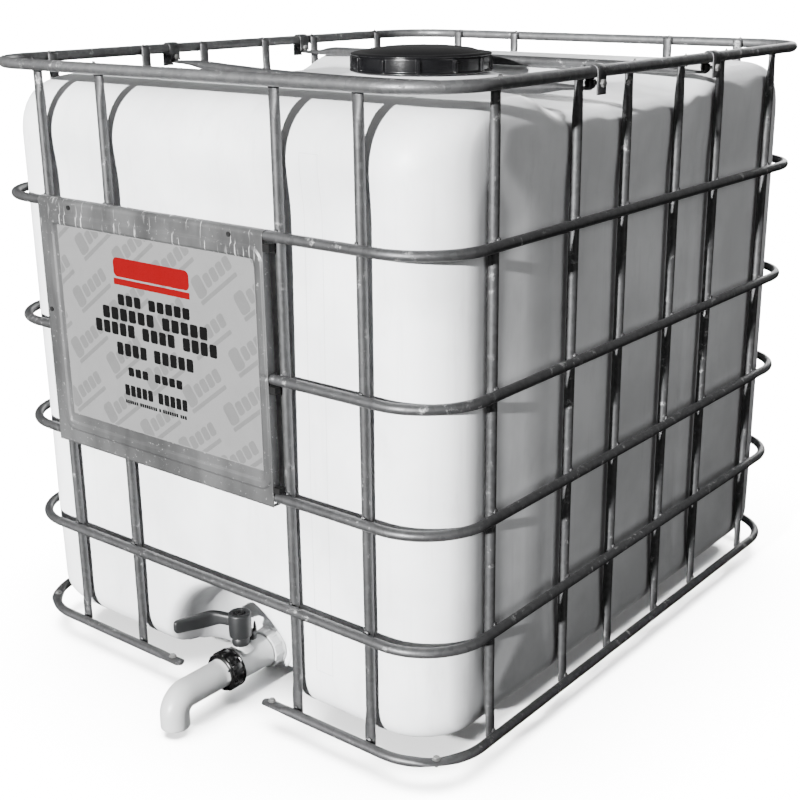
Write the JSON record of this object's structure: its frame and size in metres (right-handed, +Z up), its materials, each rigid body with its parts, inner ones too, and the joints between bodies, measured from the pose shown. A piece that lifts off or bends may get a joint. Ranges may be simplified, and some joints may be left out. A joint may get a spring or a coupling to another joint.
{
  "type": "intermediate bulk container",
  "caption": "White moulded bottle in a welded round-tube cage, with a black screw cap on top, two cross bars, a label plate and a lever valve with a bent spout at the front.",
  "frame": {"origin": "centre of the bottle's flat underside, on the floor", "axes": "+X to the right seen from the valve side, +Y from the valve side to the back, +Z up"},
  "size_m": [1.014, 1.3185, 1.0665],
  "materials": {
    "galvanised_tube": "dull galvanised steel tube, zinc spangle, weld marks",
    "zinc_screws": "zinc plated screws, bolts and nuts",
    "stainless_screw": "stainless screw",
    "sheet_plate": "grey sheet, satin",
    "dark_rivets": "dark rivets",
    "black_pads": "matte black",
    "label_panel": null,
    "bottle": "satin natural white polyethylene, slightly translucent",
    "cap": "gloss black moulded plastic",
    "seals": "matte black rubber",
    "valve_plastic": "satin white polyethylene",
    "valve_stem": "grey moulded plastic",
    "stop_plate": "dark grey moulded plastic",
    "valve_handle": "dark grey moulded plastic",
    "coupling_nut": "black moulded plastic, satin gloss"
  },
  "bodies": {
    "container": {"top_rail": "galvanised_tube", "ring_1": "galvanised_tube", "ring_2": "galvanised_tube", "ring_3": "galvanised_tube", "ring_4": "galvanised_tube", "bottom_rail": "galvanised_tube", "front_post_1": "galvanised_tube", "front_post_2": "galvanised_tube", "front_post_3": "galvanised_tube", "front_post_4": "galvanised_tube", "back_post_1": "galvanised_tube", "back_post_2": "galvanised_tube", "back_post_3": "galvanised_tube", "back_post_4": "galvanised_tube", "left_post_1": "galvanised_tube", "left_post_2": "galvanised_tube", "left_post_3": "galvanised_tube", "left_post_4": "galvanised_tube", "left_post_5": "galvanised_tube", "left_post_6": "galvanised_tube", "right_post_1": "galvanised_tube", "right_post_2": "galvanised_tube", "right_post_3": "galvanised_tube", "right_post_4": "galvanised_tube", "right_post_5": "galvanised_tube", "right_post_6": "galvanised_tube", "front_bar": "galvanised_tube", "rear_bar": "galvanised_tube", "clamp_front_left": "galvanised_tube", "clamp_front_right": "galvanised_tube", "clamp_rear_left": "galvanised_tube", "clamp_rear_right": "galvanised_tube", "clamp_bolts": "zinc_screws", "rail_screws": "zinc_screws", "label_plate": "sheet_plate", "plate_rivets": "dark_rivets", "plate_pads": "black_pads", "label_panel": "label_panel", "bottle": "bottle", "outlet_nut": "valve_plastic", "outlet_gasket": "seals", "valve_body": "valve_plastic", "stop_plate": "stop_plate"},
    "cap_lift_carrier": {"cap_seal": "seals"},
    "cap_body": {"cap": "cap"},
    "lever": {"valve_handle": "valve_handle", "handle_screw": "stainless_screw", "valve_stem": "valve_stem", "valve_disc": "valve_plastic", "stem_orings": "seals"},
    "coupling": {"coupling_nut": "coupling_nut"},
    "spout_body": {"spout": "valve_plastic", "spout_seal": "seals"}
  },
  "joints": [
    {"name": "cap_lift", "type": "slide", "parent": "container", "child": "cap_lift_carrier", "axis": [0, 0, 1], "range_m": [0, 0.25]},
    {"name": "cap_turn", "type": "hinge", "parent": "cap_lift_carrier", "child": "cap_body", "pos_m": [0, 0, 1.04], "axis": [0, 0, 1], "continuous": true},
    {"name": "lever_turn", "type": "hinge", "parent": "container", "child": "lever", "pos_m": [0.02, -0.538, 0.1], "axis": [0, 0, 1], "range_deg": [0, 90]},
    {"name": "coupling_turn", "type": "hinge", "parent": "container", "child": "coupling", "pos_m": [0.02, -0.575, 0.064], "axis": [0, -1, 0], "continuous": true},
    {"name": "spout_swivel", "type": "hinge", "parent": "container", "child": "spout_body", "pos_m": [0.02, -0.6, 0.064], "axis": [0, -1, 0], "range_deg": [-90, 90]}
  ]
}
